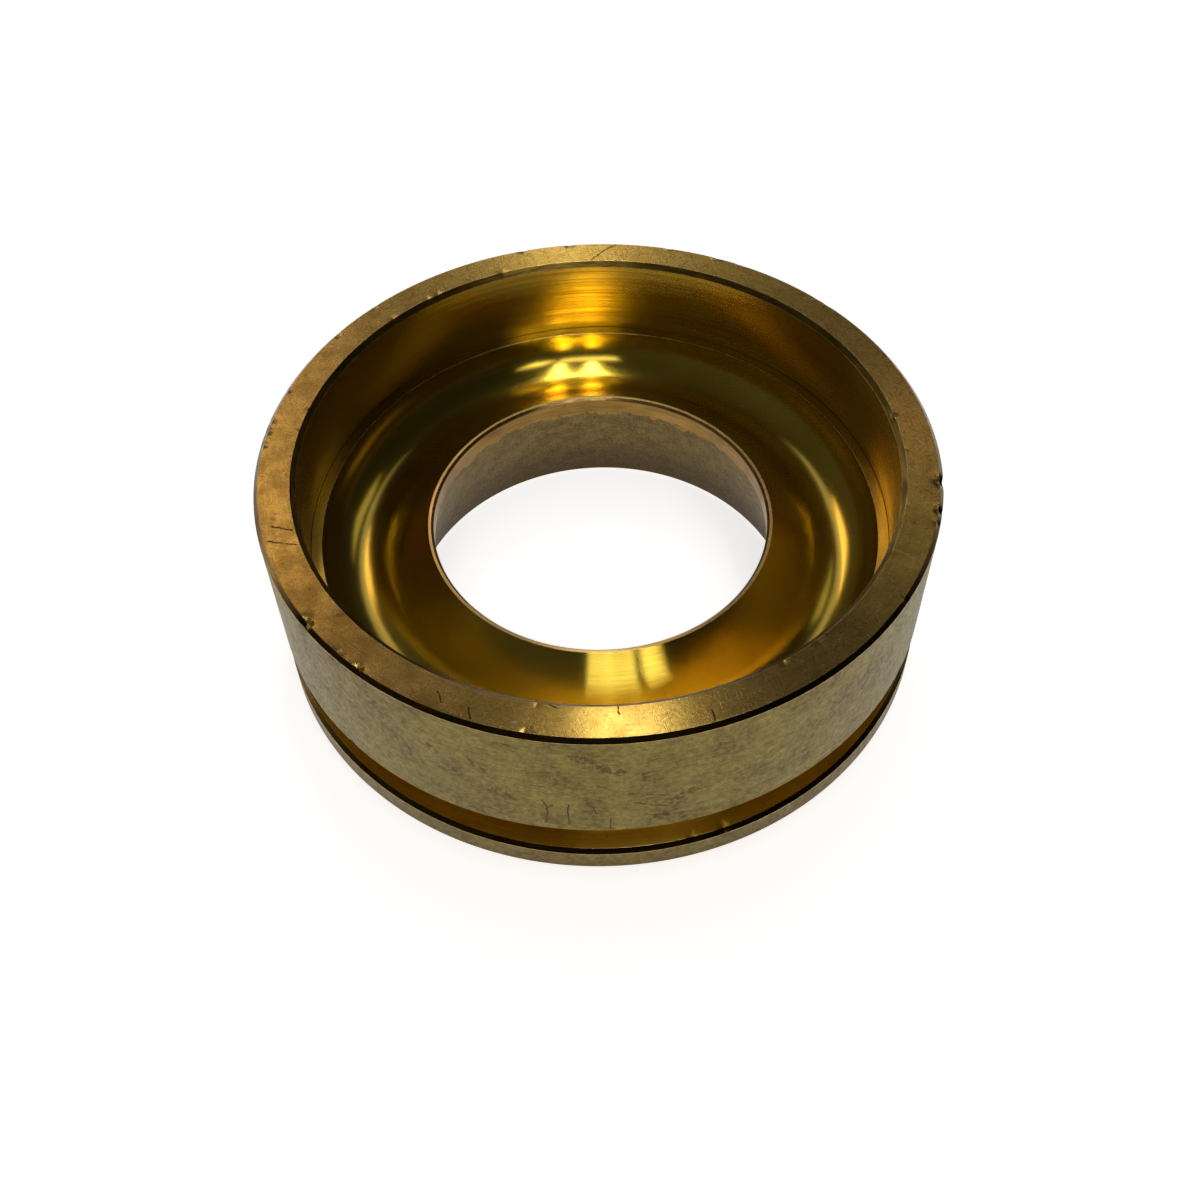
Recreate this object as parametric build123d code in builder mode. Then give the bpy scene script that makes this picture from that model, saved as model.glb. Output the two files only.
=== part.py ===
"""Turned brass ring: a stepped, dished disc with a seal groove round the outside and a tapered bore.

One solid of revolution. Millimetres, +Z up, origin at the middle of the bottom face.
"""

import os
from math import radians, sin

from build123d import *

# Outside, from the top face down
outer_diameter = 80.0
land_height = 17.3  # plain cylinder between the top face and the seal groove
groove_width = 4.8
groove_depth = 3.0
flange_thickness = 3.5  # flange under the groove, as wide as the land
spigot_inset = 5.0  # how far the spigot under the flange is set in from the outside
spigot_height = 3.6

# Inside, from the outside in
rim_width = 4.75  # wall between the outside and the counterbore
counterbore_depth = 11.1
ledge_width = 1.35  # narrow flat between the counterbore's wall and the dish
flank_angle = 37.0  # slope of the dish's conical inner flank, from flat
land_width = 0.65  # narrow flat round the bore, level with the ledge
bore_diameter = 41.0
bore_length = 2.0  # parallel, machined stretch of the bore
bore_flare = 4.5  # how much wider the bore's radius is at the bottom face

# Edges
outer_chamfer = 0.5
mouth_chamfer = 0.6
bore_chamfer = 0.3
edge_break = 0.3

# Worked out from the above
total_height = land_height + groove_width + flange_thickness + spigot_height
flange_top = spigot_height + flange_thickness
groove_top = flange_top + groove_width
ledge_z = total_height - counterbore_depth
bore_bottom = ledge_z - bore_chamfer - bore_length
outer_radius = outer_diameter / 2
spigot_radius = outer_radius - spigot_inset
counterbore_radius = outer_radius - rim_width
dish_outer_radius = counterbore_radius - ledge_width
bore_radius = bore_diameter / 2
land_radius = bore_radius + land_width
bore_exit_radius = bore_radius + bore_flare
# The dish's round bottom starts upright at the ledge and runs tangent into the flank up to the land
flank_sine = sin(radians(flank_angle))
bottom_radius = (dish_outer_radius - land_radius) * flank_sine / (1 + flank_sine)


def ring_edges(part, radius, height):
    """The circular edges of this radius that lie at this height."""
    circles = part.edges().filter_by(GeomType.CIRCLE)
    level = circles.filter_by_position(Axis.Z, height - 0.01, height + 0.01)
    return level.filter_by(lambda edge: abs(edge.radius - radius) < 0.01)


with BuildPart() as ring:
    # Outside: land, seal groove, flange and spigot
    with BuildSketch(Plane.XZ):
        with BuildLine():
            Polyline(
                (0, 0),
                (spigot_radius, 0),
                (spigot_radius, spigot_height),
                (outer_radius, spigot_height),
                (outer_radius, flange_top),
                (outer_radius - groove_depth, flange_top),
                (outer_radius - groove_depth, groove_top),
                (outer_radius, groove_top),
                (outer_radius, total_height),
                (0, total_height),
                close=True,
            )
        make_face()
    revolve(axis=Axis.Z)

    # Counterbore down to the ledge
    with BuildSketch(Plane.XY.offset(ledge_z)):
        Circle(counterbore_radius)
    extrude(amount=counterbore_depth, mode=Mode.SUBTRACT)

    # Dish: round bottom, upright at the ledge, with a conical inner flank up to the land
    with BuildSketch(Plane.XZ):
        with BuildLine():
            bottom = CenterArc(
                (dish_outer_radius - bottom_radius, ledge_z),
                bottom_radius,
                start_angle=0,
                arc_size=-90 - flank_angle,
            )
            Line(bottom @ 1, (land_radius, ledge_z))
            Line((land_radius, ledge_z), bottom @ 0)
        make_face()
    revolve(axis=Axis.Z, mode=Mode.SUBTRACT)

    # Bore: a short parallel stretch, then a taper that opens to the bottom face
    with BuildSketch(Plane.XZ):
        with BuildLine():
            Polyline(
                (0, 0),
                (bore_exit_radius, 0),
                (bore_radius, bore_bottom),
                (bore_radius, ledge_z),
                (0, ledge_z),
                close=True,
            )
        make_face()
    revolve(axis=Axis.Z, mode=Mode.SUBTRACT)

    # Chamfers and broken edges
    chamfer(ring_edges(ring, outer_radius, total_height), length=outer_chamfer)
    chamfer(ring_edges(ring, outer_radius, flange_top), length=outer_chamfer)
    chamfer(ring_edges(ring, counterbore_radius, total_height), length=mouth_chamfer)
    chamfer(ring_edges(ring, bore_radius, ledge_z), length=bore_chamfer)
    chamfer(ring_edges(ring, outer_radius, spigot_height), length=edge_break)
    chamfer(ring_edges(ring, spigot_radius, 0), length=edge_break)
    chamfer(ring_edges(ring, bore_exit_radius, 0), length=edge_break)

ring.part.label = "turned_ring"
os.makedirs("parts", exist_ok=True)
export_step(ring.part, "parts/turned_ring.step")
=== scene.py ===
"""Looks of the turned brass ring: a fine lathe mesh, turned-metal materials, floor, lamps and camera."""
from math import atan2, copysign, cos, exp, hypot, pi, radians, sin, tan
from random import Random

import bpy
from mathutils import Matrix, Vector


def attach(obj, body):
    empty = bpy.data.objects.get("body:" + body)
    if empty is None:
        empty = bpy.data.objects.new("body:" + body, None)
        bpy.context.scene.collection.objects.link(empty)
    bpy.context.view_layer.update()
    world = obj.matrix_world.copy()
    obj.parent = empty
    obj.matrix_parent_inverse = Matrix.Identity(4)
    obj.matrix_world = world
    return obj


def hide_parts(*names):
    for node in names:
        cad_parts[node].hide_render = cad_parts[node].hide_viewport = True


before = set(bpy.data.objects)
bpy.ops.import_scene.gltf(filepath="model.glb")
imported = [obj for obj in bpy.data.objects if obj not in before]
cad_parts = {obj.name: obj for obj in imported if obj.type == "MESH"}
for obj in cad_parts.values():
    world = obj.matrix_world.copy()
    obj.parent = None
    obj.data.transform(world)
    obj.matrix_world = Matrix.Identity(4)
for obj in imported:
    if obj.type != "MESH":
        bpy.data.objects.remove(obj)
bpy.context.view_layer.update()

MM = 0.001

# ---------------------------------------------------------------- sizes, in mm, as in the CAD model
outer_radius = 40.0
land_height = 17.3
groove_width = 4.8
groove_depth = 3.0
flange_thickness = 3.5
spigot_radius = 35.0
spigot_height = 3.6
counterbore_radius = 35.25
counterbore_depth = 11.1
ledge_width = 1.35
flank_slope = tan(radians(37.0))
land_width = 0.65
bore_radius = 20.5
bore_length = 2.0
bore_exit_radius = 25.0
outer_chamfer = 0.5
mouth_chamfer = 0.6
bore_chamfer = 0.3
edge_break = 0.3
dish_rounding = 4.7

flange_top = spigot_height + flange_thickness
groove_top = flange_top + groove_width
total_height = groove_top + land_height
ledge_z = total_height - counterbore_depth
bore_bottom = ledge_z - bore_chamfer - bore_length
dish_outer_radius = counterbore_radius - ledge_width
land_radius = bore_radius + land_width
dish_apex_z = ledge_z - (dish_outer_radius - land_radius) * flank_slope
groove_radius = outer_radius - groove_depth
taper_per_mm = (bore_exit_radius - bore_radius) / bore_bottom

turns = 720  # mesh columns round the ring
bump_depth = 0.02

# The section's corners, anticlockwise: radius, height, rounding, material of the corner,
# material of the stretch that follows and the number of rings in it
corners = [
    (bore_exit_radius + edge_break, 0, 0.1, "under", "under", 3),
    (spigot_radius - edge_break, 0, 0.1, "under", "under", 1),
    (spigot_radius, edge_break, 0.1, "under", "under", 2),
    (spigot_radius, spigot_height, 0.2, "under", "under", 2),
    (outer_radius - edge_break, spigot_height, 0.1, "edge", "wall", 1),
    (outer_radius, spigot_height + edge_break, 0.1, "wall", "wall", 3),
    (outer_radius, flange_top - outer_chamfer, 0.06, "edge", "chamfer", 1),
    (outer_radius - outer_chamfer, flange_top, 0.06, "edge", "groove", 2),
    (groove_radius, flange_top, 0.2, "groove", "groove", 3),
    (groove_radius, groove_top, 0.2, "groove", "groove", 2),
    (outer_radius, groove_top, 0.07, "edge", "wall", 8),
    (outer_radius, total_height - outer_chamfer, 0.06, "edge", "chamfer", 2),
    (outer_radius - outer_chamfer, total_height, 0.08, "edge", "face", 5),
    (counterbore_radius + mouth_chamfer, total_height, 0.08, "edge", "mouth", 2),
    (counterbore_radius, total_height - mouth_chamfer, 0.08, "edge", "counterbore", 5),
    # the inside corner at the ledge takes a painted crease shade
    (counterbore_radius, ledge_z, 0.06, "painted_crease_shade", "ledge", 2),
    (dish_outer_radius, ledge_z, 0.07, "edge", "dish", 1),
    (dish_outer_radius, dish_apex_z, dish_rounding, "dish", "dish", 5),
    (land_radius, ledge_z, 0.07, "edge", "land", 1),
    (bore_radius + bore_chamfer, ledge_z, 0.06, "edge", "lip", 1),
    (bore_radius, ledge_z - bore_chamfer, 0.06, "band", "band", 2),
    (bore_radius, bore_bottom, 0.4, "taper", "taper", 6),
    (bore_exit_radius - taper_per_mm * edge_break, edge_break, 0.1, "under", "under", 1),
]


def unit(r, z):
    length = hypot(r, z)
    return r / length, z / length


def section(corners):
    """Points round the section, each (r, z, normal r, normal z, material of the strip after it)."""
    count = len(corners)
    arcs = []
    for i, (r, z, rounding, corner_zone, zone, rings) in enumerate(corners):
        before, after = corners[i - 1], corners[(i + 1) % count]
        in_r, in_z = unit(r - before[0], z - before[1])
        out_r, out_z = unit(after[0] - r, after[1] - z)
        turn = atan2(in_r * out_z - in_z * out_r, in_r * out_r + in_z * out_z)
        cut = rounding * tan(abs(turn) / 2)
        side = copysign(1, turn)
        centre_r = r - in_r * cut - side * in_z * rounding
        centre_z = z - in_z * cut + side * in_r * rounding
        steps = 36 if rounding > 1 else 2
        arc = []
        for k in range(steps + 1):
            a = turn * k / steps
            nr = in_z * cos(a) + in_r * sin(a)
            nz = in_z * sin(a) - in_r * cos(a)
            arc.append([centre_r + side * rounding * nr, centre_z + side * rounding * nz,
                        nr, nz, corner_zone])
        arcs.append(arc)
    points = []
    for i, arc in enumerate(arcs):
        zone, rings = corners[i][4], corners[i][5]
        arc[-1][4] = zone
        points += arc
        r0, z0, nr, nz = arc[-1][:4]
        r1, z1 = arcs[(i + 1) % count][0][:2]
        for k in range(1, rings):
            points.append([r0 + (r1 - r0) * k / rings, z0 + (z1 - z0) * k / rings, nr, nz, zone])
    return points


def lathe(name, points, materials, dents):
    """A closed ring turned from the section, with dents pressed into it and exact normals.

    Nothing stands above the top face.
    """
    zones = list(materials)
    verts, normals, faces, slots = [], [], [], []
    for i in range(turns):
        a = 2 * pi * i / turns
        ca, sa = cos(a), sin(a)
        near = [dent for dent in dents if dent[0].x * ca + dent[0].y * sa > dent[0].xy.length * 0.998]
        for r, z, nr, nz, _ in points:
            p, n = Vector((r * ca, r * sa, z)), Vector((nr * ca, nr * sa, nz))
            push, lean = 0.0, Vector()
            for centre, size, depth in near:
                gap = p - centre
                if gap.length_squared < 9 * size * size:
                    here = depth * exp(-gap.length_squared / size**2)
                    push += here
                    lean -= gap * (2 * here / size**2)
            p -= n * push
            p.z = min(p.z, total_height)
            verts.append(p * MM)
            normals.append((n + lean - n * lean.dot(n)).normalized())
    count = len(points)
    for i in range(turns):
        j = (i + 1) % turns
        for k in range(count):
            m = (k + 1) % count
            faces.append((i * count + k, j * count + k, j * count + m, i * count + m))
            slots.append(zones.index(points[k][4]))
    mesh = bpy.data.meshes.new(name)
    mesh.from_pydata(verts, [], faces)
    for material in materials.values():
        mesh.materials.append(material)
    mesh.polygons.foreach_set("material_index", slots)
    mesh.polygons.foreach_set("use_smooth", [True] * len(faces))
    mesh.update()
    mesh.normals_split_custom_set_from_vertices(normals)
    obj = bpy.data.objects.new(name, mesh)
    bpy.context.scene.collection.objects.link(obj)
    return obj


# ---------------------------------------------------------------- materials
class Shade:
    """Short-hand for adding nodes to one material."""

    def __init__(self, name):
        self.material = bpy.data.materials.new(name)
        self.material.use_nodes = True
        self.tree = self.material.node_tree
        self.shader = self.tree.nodes["Principled BSDF"]
        where = self.add("ShaderNodeTexCoord").outputs["Object"]
        self.place = self.vector("SCALE", where, scale=1 / MM)
        split = self.add("ShaderNodeSeparateXYZ")
        self.link(self.place, split.inputs[0])
        self.x, self.y, self.z = split.outputs
        self.r = self.math("SQRT", self.math("ADD", self.math("MULTIPLY", self.x, self.x),
                                             self.math("MULTIPLY", self.y, self.y)))
        self.along = self.math("DIVIDE", self.x, self.r)
        self.across = self.math("DIVIDE", self.y, self.r)

    def add(self, kind, **settings):
        node = self.tree.nodes.new(kind)
        for key, value in settings.items():
            setattr(node, key, value)
        return node

    def link(self, source, target):
        if isinstance(source, bpy.types.NodeSocket):
            self.tree.links.new(source, target)
        else:
            target.default_value = source

    def math(self, operation, a, b=0.0, clamp=False):
        node = self.add("ShaderNodeMath", operation=operation, use_clamp=clamp)
        self.link(a, node.inputs[0])
        self.link(b, node.inputs[1])
        return node.outputs[0]

    def vector(self, operation, a, b=(0, 0, 0), scale=1.0):
        node = self.add("ShaderNodeVectorMath", operation=operation)
        self.link(a, node.inputs[0])
        self.link(b, node.inputs[1])
        node.inputs[3].default_value = scale
        return node.outputs[0]

    def ramp(self, value, low, high, to_low=0.0, to_high=1.0, smooth=True):
        node = self.add("ShaderNodeMapRange")
        node.interpolation_type = "SMOOTHSTEP" if smooth else "LINEAR"
        for socket, source in zip(node.inputs, (value, low, high, to_low, to_high)):
            self.link(source, socket)
        return node.outputs[0]

    def mix(self, factor, a, b):
        node = self.add("ShaderNodeMix", data_type="RGBA")
        self.link(factor, node.inputs[0])
        for socket, source in ((node.inputs[6], a), (node.inputs[7], b)):
            self.link(source, socket)
        return node.outputs[2]

    def noise(self, scale, detail=3.0, roughness=0.55, stretch=(1, 1, 1), offset=0.0):
        """Noise in the ring's own space, scale in lumps per mm."""
        node = self.add("ShaderNodeTexNoise")
        place = self.vector("MULTIPLY", self.place, stretch)
        place = self.vector("ADD", place, (offset, offset * 0.7, 0))
        self.link(place, node.inputs["Vector"])
        node.inputs["Scale"].default_value = scale
        node.inputs["Detail"].default_value = detail
        node.inputs["Roughness"].default_value = roughness
        return node.outputs["Fac"]

    def marks(self, per_turn, per_mm, detail=2.0, seed=0.0):
        """Turning marks: noise drawn out round the axis, and fine across."""
        node = self.add("ShaderNodeTexNoise", noise_dimensions="4D")
        place = self.add("ShaderNodeCombineXYZ")
        self.link(self.math("MULTIPLY", self.along, per_turn), place.inputs[0])
        self.link(self.math("MULTIPLY", self.across, per_turn), place.inputs[1])
        self.link(self.math("MULTIPLY", self.r, per_mm), place.inputs[2])
        self.link(place.outputs[0], node.inputs["Vector"])
        self.link(self.math("ADD", self.math("MULTIPLY", self.z, per_mm), seed), node.inputs["W"])
        node.inputs["Scale"].default_value = 1.0
        node.inputs["Detail"].default_value = detail
        return node.outputs["Fac"]

    def scratches(self, sets, per_mm, cut):
        """Short straight scratches on a flat face, each set of (direction in degrees, lumps per mm)."""
        found = 0.0
        for direction, along in sets:
            turn = self.add("ShaderNodeVectorRotate", rotation_type="Z_AXIS")
            self.link(self.place, turn.inputs["Vector"])
            turn.inputs["Angle"].default_value = radians(direction)
            node = self.add("ShaderNodeTexNoise")
            self.link(self.vector("MULTIPLY", turn.outputs[0], (along, per_mm, 1)), node.inputs["Vector"])
            node.inputs["Scale"].default_value = 1.0
            node.inputs["Detail"].default_value = 0.0
            found = self.math("MAXIMUM", found, self.ramp(node.outputs["Fac"], cut, cut + 0.06))
        return found

    def strokes(self, runs, width, wobble=0.2):
        """Thin marks, each a straight run between two points in mm: 1 on a mark, 0 off it."""
        shake = self.add("ShaderNodeTexNoise")
        self.link(self.place, shake.inputs["Vector"])
        shake.inputs["Scale"].default_value = 1.3
        shift = self.vector("SUBTRACT", shake.outputs["Color"], (0.5, 0.5, 0.5))
        shift = self.vector("SCALE", shift, scale=wobble * 2)
        where = self.vector("ADD", self.place, shift)
        found = 0.0
        for start, end in runs:
            run = end - start
            gap = self.vector("SUBTRACT", where, start)
            dot = self.add("ShaderNodeVectorMath", operation="DOT_PRODUCT")
            self.link(gap, dot.inputs[0])
            dot.inputs[1].default_value = run / run.length_squared
            along = self.math("ADD", dot.outputs["Value"], 0.0, clamp=True)
            nearest = self.add("ShaderNodeVectorMath", operation="SCALE")
            nearest.inputs[0].default_value = run
            self.link(along, nearest.inputs[3])
            off = self.add("ShaderNodeVectorMath", operation="LENGTH")
            self.link(self.vector("SUBTRACT", gap, nearest.outputs[0]), off.inputs[0])
            mark = self.ramp(off.outputs["Value"], width * 0.5, width, 1.0, 0.0)
            found = self.math("MAXIMUM", found, mark)
        return found

    def tangent(self):
        node = self.add("ShaderNodeTangent", direction_type="RADIAL", axis="Z")
        self.link(node.outputs[0], self.shader.inputs["Tangent"])


def at(azimuth, radius, height):
    """A place on the ring in mm; azimuth 0 is +X and -90 the front."""
    a = radians(azimuth)
    return Vector((radius * cos(a), radius * sin(a), height))


def on_wall(*places):
    """Runs on the outer wall from (azimuth, height) to (azimuth, height)."""
    return [(at(a, outer_radius, h), at(b, outer_radius, k)) for a, h, b, k in places]


def on_face(*places):
    """Runs on the top face from (azimuth, radius) to (azimuth, radius)."""
    return [(at(a, r, total_height), at(b, q, total_height)) for a, r, b, q in places]


def srgb(r, g, b):
    """A colour as it reads on screen, 0 to 255, as shader values."""
    def one(c):
        c /= 255
        return c / 12.92 if c <= 0.04045 else ((c + 0.055) / 1.055) ** 2.4
    return one(r), one(g), one(b), 1.0


def finish(s, colour, rough, anisotropy, height, relief):
    """Sets the metal's sockets: colour and roughness from nodes, and height, in bump_depths, as bump."""
    s.link(colour, s.shader.inputs["Base Color"])
    s.shader.inputs["Metallic"].default_value = 1.0
    s.link(rough, s.shader.inputs["Roughness"])
    s.shader.inputs["Anisotropic"].default_value = anisotropy
    s.shader.inputs["Anisotropic Rotation"].default_value = 0.25
    s.tangent()
    bump = s.add("ShaderNodeBump")
    bump.inputs["Strength"].default_value = relief
    bump.inputs["Distance"].default_value = bump_depth * MM
    s.link(height, bump.inputs["Height"])
    s.link(bump.outputs[0], s.shader.inputs["Normal"])
    return s.material


def turned(name, colour, shade, rough, anisotropy, turns_mm=5, streak=3, contrast=0.5, relief=0.2,
           smear=0.1, dirt=0.3):
    """Clean turned brass: marks round the axis, coarse and fine, soft tarnish and a few dark specks."""
    s = Shade(name)
    coarse = s.marks(streak, turns_mm)
    fine = s.marks(streak * 2, turns_mm * 3, seed=7)
    lines = s.math("ADD", s.math("MULTIPLY", coarse, 0.6), s.math("MULTIPLY", fine, 0.4))
    tarnish = s.noise(0.12, 4.0)
    tone = s.math("ADD", s.ramp(lines, 0.38, 0.62, 0.0, contrast),
                  s.ramp(tarnish, 0.35, 0.7, 0.0, 1 - contrast))
    specks = s.ramp(s.noise(1.3, 1.0, offset=31), 0.74, 0.77)
    colour = s.mix(s.math("MULTIPLY", specks, dirt), s.mix(tone, colour, shade), srgb(60, 40, 14))
    fine_rough = s.ramp(lines, 0.35, 0.65, rough * 0.88, rough * 1.12)
    cloud = s.ramp(s.noise(0.3, 3.0, offset=11), 0.35, 0.7, -smear * rough, smear * rough)
    return finish(s, colour, s.math("ADD", fine_rough, cloud), anisotropy, lines, relief)


def scuffed_face():
    """The top face: bronze brown, concentric marks, handling scuffs in all directions, dull spots, and
    bright marks that are partly bare-metal scratches and partly painted glints.
    """
    s = Shade("brass_face")
    coarse, fine = s.marks(5, 5), s.marks(14, 12, seed=3)
    lines = s.math("ADD", s.math("MULTIPLY", coarse, 0.55), s.math("MULTIPLY", fine, 0.45))
    blotch = s.noise(0.35, 4.0, 0.6)
    grain = s.noise(2.4, 3.0, 0.6, offset=5)
    tone = s.math("ADD", s.ramp(blotch, 0.35, 0.65, 0.0, 0.35), s.ramp(lines, 0.36, 0.64, 0.0, 0.35))
    tone = s.math("ADD", tone, s.ramp(grain, 0.35, 0.65, 0.0, 0.3))
    colour = s.mix(tone, srgb(228, 188, 92), srgb(182, 144, 64))
    scuffs = s.scratches(((20, 0.5), (75, 0.42), (140, 0.55)), 9.0, 0.66)
    dull = s.ramp(s.noise(0.8, 3.0, offset=40), 0.66, 0.72)
    dark = s.math("MAXIMUM", s.math("MULTIPLY", dull, 0.4), s.math("MULTIPLY", scuffs, 0.14))
    gouges = s.strokes(on_face(
        (-116.6, 37.5, -115.1, 38.5), (-110.9, 38.1, -109.9, 39.3), (-98.8, 35.9, -97.0, 36.4),
        (-87.9, 35.9, -87.7, 36.8), (-73.6, 38.0, -73.9, 39.4), (-163.4, 38.2, -161.3, 36.2),
        (-160.4, 39.1, -157.8, 36.2), (90.9, 36.0, 88.1, 38.1), (88.1, 38.1, 85.9, 39.4)), 0.11)
    dark = s.math("MAXIMUM", dark, s.math("MULTIPLY", gouges, 0.9))
    colour = s.mix(dark, colour, srgb(56, 38, 16))
    # bright marks: some are scratches of bare metal, some are painted highlights (glints)
    bright_scratches_and_glints = s.strokes(on_face(
        (-26.7, 36.3, -27.2, 38.4), (-33.0, 36.9, -33.4, 37.5), (1.4, 37.5, 0.1, 38.1),
        (-111.3, 39.1, -111.2, 39.3), (-105.3, 39.3, -105.1, 39.3), (-103.7, 38.5, -103.2, 38.4)), 0.1, 0.1)
    colour = s.mix(s.math("MULTIPLY", bright_scratches_and_glints, 0.8), colour, srgb(255, 236, 170))
    rough = s.math("ADD", s.ramp(blotch, 0.3, 0.7, 0.27, 0.34), s.math("MULTIPLY", scuffs, -0.06))
    height = s.math("ADD", s.math("MULTIPLY", lines, 0.5), s.math("MULTIPLY", grain, 0.6))
    height = s.math("SUBTRACT", height, s.math("MULTIPLY", scuffs, 0.1))
    height = s.math("SUBTRACT", height, s.math("MULTIPLY", gouges, 3.0))
    rough = s.math("ADD", rough, s.math("MULTIPLY", bright_scratches_and_glints, 0.2))
    return finish(s, colour, rough, 1.0, height, 0.4)


def dull_wall():
    """The outer land: oxidised grey olive, fine mottle, stains, faint turning marks, cracks, and painted
    shade that darkens it towards the flange.
    """
    s = Shade("brass_wall")
    lines = s.marks(14, 6)
    fine = s.marks(50, 16, seed=9)
    cloud = s.noise(0.2, 5.0, 0.65)
    mottle = s.noise(1.5, 5.0, 0.7, offset=17)
    grain = s.noise(5.0, 2.0, 0.6, (1, 1, 1.6), offset=29)
    tone = s.math("ADD", s.ramp(cloud, 0.36, 0.64, 0.0, 0.3), s.ramp(mottle, 0.36, 0.66, 0.0, 0.3))
    tone = s.math("ADD", tone, s.ramp(lines, 0.38, 0.64, 0.0, 0.25))
    tone = s.math("ADD", tone, s.ramp(grain, 0.35, 0.65, 0.0, 0.25))
    colour = s.mix(tone, srgb(146, 131, 66), srgb(94, 76, 34))
    stain = s.math("MULTIPLY", s.ramp(cloud, 0.52, 0.66), s.ramp(mottle, 0.48, 0.6))
    streaks = s.math("MAXIMUM", s.ramp(s.marks(26, 5, detail=1.0, seed=15), 0.64, 0.7),
                     s.ramp(s.marks(44, 9, detail=1.0, seed=23), 0.62, 0.68))
    streaks = s.math("MULTIPLY", streaks, s.ramp(cloud, 0.4, 0.55, 0.25, 0.8))
    dark = s.math("MAXIMUM", s.math("MULTIPLY", stain, 0.45), streaks)
    stains = s.strokes(on_wall(
        (-94.8, 26.8, -89.5, 24.2), (-89.5, 24.2, -88.0, 23.4), (-106.0, 18.0, -104.5, 17.0),
        (-110.0, 22.6, -108.5, 21.8), (-117.0, 22.7, -116.0, 22.0), (-82.0, 14.2, -80.5, 14.0),
        (-79.7, 16.8, -77.5, 18.2)), 0.9, 1.2)
    stains = s.math("MULTIPLY", s.math("MULTIPLY", stains, 0.65), s.ramp(mottle, 0.4, 0.56))
    dark = s.math("MAXIMUM", dark, stains)
    cracks = s.strokes(on_wall(
        (-101.2, 20.3, -99.1, 20.3), (-99.6, 17.6, -98.9, 16.1), (-98.9, 16.1, -99.3, 13.0),
        (-98.0, 17.0, -98.9, 16.1), (-95.7, 17.1, -95.9, 15.2), (-95.9, 15.2, -95.7, 13.1),
        (-93.1, 17.4, -91.9, 16.6), (-91.9, 16.6, -91.7, 15.4), (-89.4, 14.5, -89.5, 12.4),
        (-86.7, 19.4, -80.2, 17.9), (-85.7, 17.3, -80.8, 15.9), (-91.3, 21.0, -89.9, 20.6),
        (-83.6, 14.6, -81.0, 14.1)), 0.125)
    dark = s.math("MAXIMUM", dark, s.math("MULTIPLY", cracks, 0.95))
    # painted shade: the wall darkens towards the flange, standing in for the shadow near the floor
    low = s.ramp(s.z, spigot_height, flange_top + 1.0, 0.55, 0.0)
    colour = s.mix(s.math("MAXIMUM", dark, low), colour, srgb(78, 54, 22))
    rough = s.math("ADD", s.ramp(mottle, 0.3, 0.7, 0.4, 0.54), s.ramp(fine, 0.35, 0.65, -0.03, 0.03))
    height = s.math("ADD", s.math("MULTIPLY", lines, 0.5), s.math("MULTIPLY", fine, 0.4))
    height = s.math("SUBTRACT", s.math("ADD", height, grain), s.math("MULTIPLY", dark, 1.2))
    return finish(s, colour, rough, 0.35, height, 0.4)


def forged_taper():
    """The bore's tapered wall, as forged: matt, grainy, olive with brown blotches, and painted shade that
    darkens it towards the bottom.
    """
    s = Shade("brass_taper")
    skin = s.noise(0.5, 5.0, 0.6)
    grain = s.noise(3.0, 4.0, 0.65, offset=9)
    tone = s.math("ADD", s.ramp(skin, 0.35, 0.65, 0.0, 0.6), s.ramp(grain, 0.35, 0.65, 0.0, 0.4))
    # painted shade: darker brown towards the bottom of the bore
    low = s.ramp(s.z, 1.0, 13.0, 0.8, 0.0)
    colour = s.mix(tone, srgb(134, 114, 62), srgb(104, 82, 40))
    colour = s.mix(low, colour, srgb(66, 46, 20))
    ragged = s.math("ADD", s.z, s.ramp(s.noise(0.7, 4.0, 0.6, offset=3), 0.3, 0.7, -1.2, 1.2, smooth=False))
    cut = s.ramp(ragged, bore_bottom - 0.5, bore_bottom - 0.2)
    colour = s.mix(cut, colour, srgb(162, 126, 62))
    return finish(s, colour, s.ramp(grain, 0.3, 0.7, 0.55, 0.7), 0.0,
                  s.math("ADD", s.math("MULTIPLY", skin, 2.0), grain), 0.7)


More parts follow.
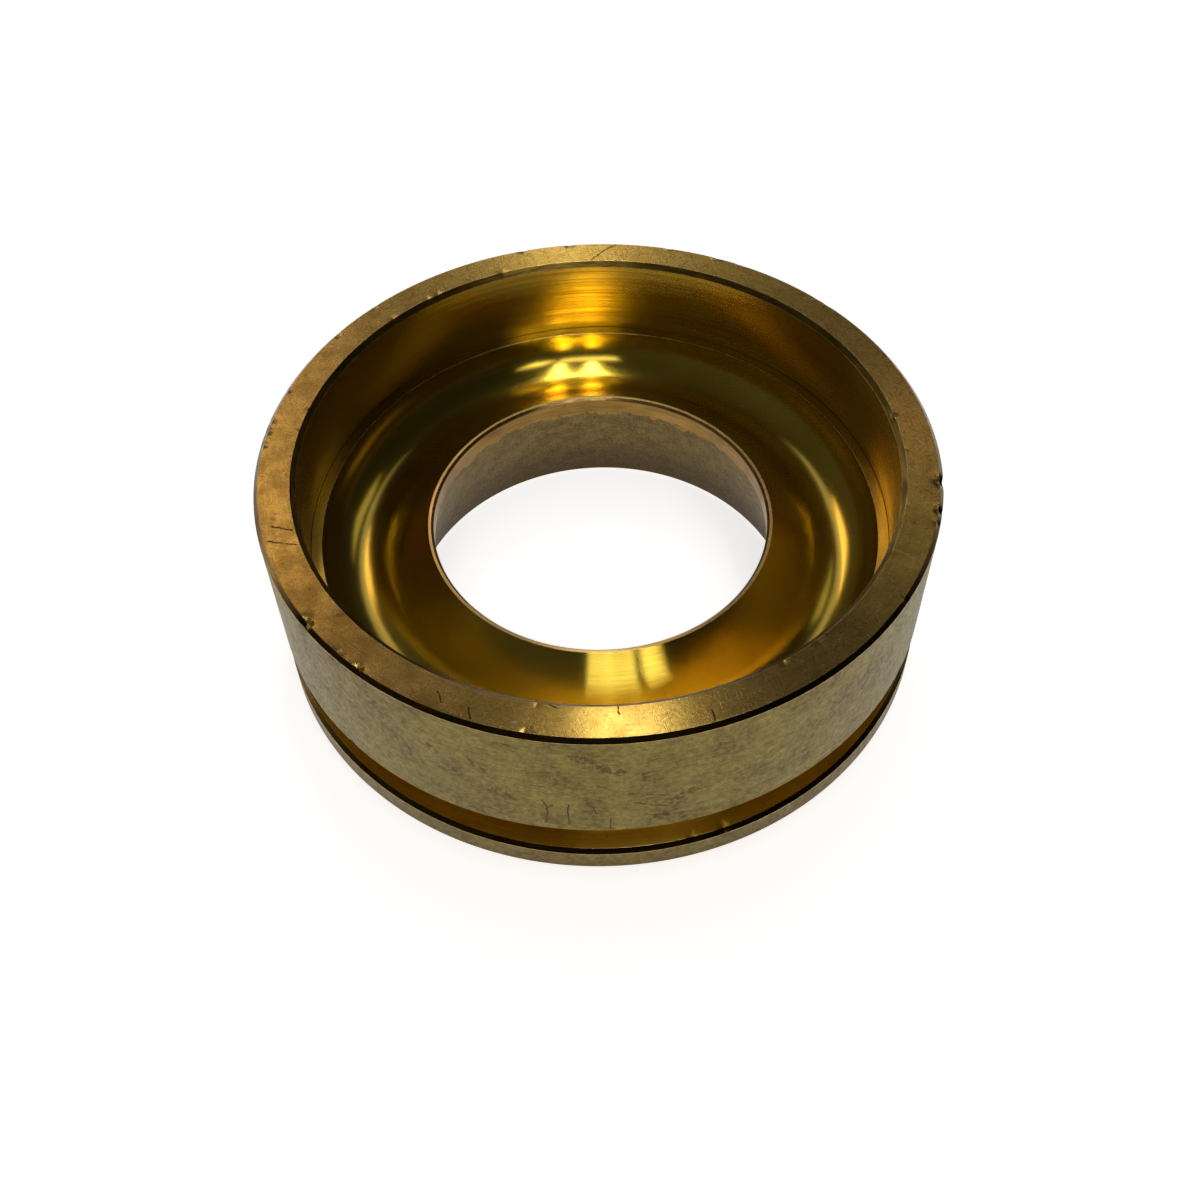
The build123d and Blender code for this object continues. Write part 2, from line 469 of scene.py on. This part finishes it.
bright, mid, deep = srgb(222, 191, 74), srgb(208, 173, 58), srgb(186, 144, 40)
materials = {
    "under": turned("brass_under", srgb(176, 144, 82), srgb(140, 110, 56), 0.38, 0.6, contrast=0.6),
    "wall": dull_wall(),
    "edge": turned("brass_edge", srgb(240, 208, 130), srgb(160, 128, 70), 0.3, 0.5, 3, 30, 0.8, 0.8),
    # painted dark reflection: the outer chamfers' base colour is darkened to stand in for the dark room
    # they reflect
    "chamfer": turned("brass_chamfer_painted_dark", srgb(110, 86, 42), srgb(64, 46, 20), 0.16, 0.5, 3, 12, 0.7),
    # painted dark reflection: the mouth chamfer's base colour is darkened to stand in for the dark
    # surroundings it reflects
    "mouth": turned("brass_mouth_painted_dark", srgb(136, 108, 46), srgb(84, 64, 26), 0.35, 0.5, 3, 12, 0.7),
    "groove": turned("brass_groove", srgb(196, 166, 62), srgb(172, 140, 48), 0.32, 0.9, dirt=0.0),
    # painted shade: a dark line in the inside corner between the counterbore wall and the ledge
    "painted_crease_shade": turned("brass_painted_crease_shade", srgb(96, 66, 26), srgb(60, 40, 16), 0.5, 0.0),
    "face": scuffed_face(),
    "counterbore": turned("brass_counterbore", bright, deep, 0.24, 0.97, 4, 1.5, 0.8, 0.02, 0.0, 0.0),
    "ledge": turned("brass_ledge", bright, mid, 0.2, 0.95, 8, 3),
    "dish": turned("brass_dish", bright, mid, 0.15, 0.92, 8, 3, 0.3, 0.0, 0.0, 0.1),
    "land": turned("brass_land", srgb(226, 190, 110), srgb(196, 156, 80), 0.3, 0.7),
    "lip": turned("brass_lip", srgb(220, 182, 110), srgb(150, 112, 56), 0.3, 0.6, 3, 14, 0.7, 0.5),
    "band": turned("brass_band", srgb(162, 128, 66), srgb(128, 96, 44), 0.35, 0.8, 5, 4, 0.6, 0.4),
    "taper": forged_taper(),
}

# ---------------------------------------------------------------- the ring
dents = [  # (place, size, depth), in mm; the last one is a burr
    (at(-142.0, outer_radius - 0.3, total_height), 0.6, 0.3),
    (at(-129.5, outer_radius - 0.4, total_height), 0.5, 0.2),
    (at(-8.5, outer_radius - 0.2, total_height), 0.7, 0.35),
    (at(-15.4, outer_radius - 0.3, total_height), 0.45, 0.25),
    (at(-71.0, outer_radius - 0.3, flange_top), 0.5, 0.15),
    (at(7.5, counterbore_radius + 0.4, total_height - 0.1), 0.5, -0.12),
]
knocks = Random(5)
for _ in range(60):
    edge = knocks.choice(("outer", "outer", "mouth", "groove", "flange"))
    radius, height = {
        "outer": (outer_radius - 0.3, total_height - 0.1),
        "mouth": (counterbore_radius + mouth_chamfer, total_height),
        "groove": (outer_radius, groove_top),
        "flange": (outer_radius - 0.3, flange_top - 0.1),
    }[edge]
    place, size = at(knocks.uniform(0, 360), radius, height), knocks.uniform(0.3, 0.55)
    depth = knocks.uniform(0.04, 0.12)
    dents.append((place, size, depth * 0.4 if edge == "mouth" else depth))
ring = lathe("ring_dressed", section(corners), materials, dents)
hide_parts("turned_ring")
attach(ring, "root")

# ---------------------------------------------------------------- floor
def flat_floor(half):
    mesh = bpy.data.meshes.new("floor")
    square = [(-half, -half, 0), (half, -half, 0), (half, half, 0), (-half, half, 0)]
    mesh.from_pydata(square, [], [(0, 1, 2, 3)])
    obj = bpy.data.objects.new("floor", mesh)
    bpy.context.scene.collection.objects.link(obj)
    return obj


def background_rays(nodes, links):
    """1 for camera, glossy and transmission rays."""
    path = nodes.new("ShaderNodeLightPath")
    total = path.outputs["Is Camera Ray"]
    for ray in ("Is Glossy Ray", "Is Transmission Ray"):
        node = nodes.new("ShaderNodeMath")
        node.operation = "MAXIMUM"
        links.new(total, node.inputs[0])
        links.new(path.outputs[ray], node.inputs[1])
        total = node.outputs[0]
    return total


def paper(fill):
    """White paper that takes shadows; fill is the light it has of its own, to read as white."""
    material = bpy.data.materials.new("floor_paper")
    material.use_nodes = True
    nodes, links = material.node_tree.nodes, material.node_tree.links
    shader = nodes["Principled BSDF"]
    shader.inputs["Base Color"].default_value = (0.9, 0.9, 0.9, 1)
    shader.inputs["Roughness"].default_value = 1.0
    shader.inputs["Specular IOR Level"].default_value = 0.0
    shader.inputs["Emission Color"].default_value = (1, 1, 1, 1)
    strength = nodes.new("ShaderNodeMath")
    strength.operation = "MULTIPLY"
    strength.inputs[1].default_value = fill
    links.new(background_rays(nodes, links), strength.inputs[0])
    links.new(strength.outputs[0], shader.inputs["Emission Strength"])
    return material


floor = flat_floor(half=4.0)
floor.data.materials.append(paper(fill=0.78))

# ---------------------------------------------------------------- world and lamps
world = bpy.data.worlds.new("studio")
world.use_nodes = True
bpy.context.scene.world = world
nodes, links = world.node_tree.nodes, world.node_tree.links
split = nodes.new("ShaderNodeSeparateXYZ")
links.new(nodes.new("ShaderNodeTexCoord").outputs["Generated"], split.inputs[0])


def fade(axis, low, high, to_low, to_high):
    """A value that runs from to_low to to_high as the sky's direction goes from low to high."""
    node = nodes.new("ShaderNodeMapRange")
    node.interpolation_type = "SMOOTHSTEP"
    links.new(split.outputs[axis], node.inputs["Value"])
    for socket, value in zip(list(node.inputs)[1:], (low, high, to_low, to_high)):
        socket.default_value = value
    return node.outputs[0]


def combine(operation, a, b):
    node = nodes.new("ShaderNodeMath")
    node.operation = operation
    links.new(a, node.inputs[0])
    links.new(b, node.inputs[1])
    return node.outputs[0]


# a bright band low behind the ring, brighter on the left, under a dim ceiling
low_band = combine("MULTIPLY", fade("Z", 0.08, 0.22, 1.0, 0.0), fade("Y", 0.0, 0.35, 0.12, 1.0))
low_band = combine("MULTIPLY", low_band, fade("X", -0.4, 0.05, 2.2, 0.2))
sky = combine("ADD", low_band, fade("X", -0.8, 0.5, 0.06, 0.015))
links.new(sky, nodes["Background"].inputs["Strength"])
nodes["Background"].inputs["Color"].default_value = (1, 1, 1, 1)


def lamp(name, place, width, length, radiance, colour=(1, 1, 1), down=False, turn=0.0):
    """A soft box at this place, in metres, of this radiance: aimed at the ring, or straight down."""
    data = bpy.data.lights.new(name, "AREA")
    data.shape, data.size, data.size_y = "RECTANGLE", width, length
    data.energy, data.color = radiance * pi * width * length, colour
    obj = bpy.data.objects.new(name, data)
    obj.location = place
    if down:
        obj.rotation_euler = (0, 0, radians(turn))
    else:
        obj.rotation_euler = Vector(place).to_track_quat("Z", "Y").to_euler()
    obj.visible_camera = False
    bpy.context.scene.collection.objects.link(obj)
    return obj


lamp("tube_middle", (0.015, 0.05, 1.2), 0.05, 1.4, 7.5, down=True, turn=1.5)
lamp("tube_right", (0.12, 0.02, 1.2), 0.05, 1.4, 7.5, down=True, turn=10.0)
lamp("panel_front", (0.08, -1.05, 1.2), 0.5, 0.4, 2.1, down=True)
lamp("panel_right", (0.53, -1.0, 1.2), 0.24, 0.4, 2.9, down=True)
lamp("panel_side", (0.5, 0.8, 1.02), 0.3, 0.3, 0.45)
lamp("window_left", (-0.303, 0.914, 1.016), 0.3, 0.2, 2.3, (1.0, 0.74, 0.6))
lamp("window_back", (-0.06, 0.9, 1.072), 0.4, 0.36, 0.5, (0.88, 0.88, 1.4))

# ---------------------------------------------------------------- camera
camera_data = bpy.data.cameras.new("camera")
camera_data.lens = 41.247
camera_data.sensor_width = 36.0
camera_data.shift_x = -0.0222
camera_data.shift_y = -0.084
camera_data.clip_start = 0.01
camera = bpy.data.objects.new("camera", camera_data)
camera.location = Vector((0, -113.271, total_height + 114.904)) * MM
aim = Vector((2.991, -7.909, total_height)) * MM  # a point of the top face's plane
camera.rotation_euler = (aim - camera.location).to_track_quat("-Z", "Y").to_euler()
bpy.context.scene.collection.objects.link(camera)
bpy.context.scene.camera = camera
bpy.context.scene.view_settings.view_transform = "Standard"
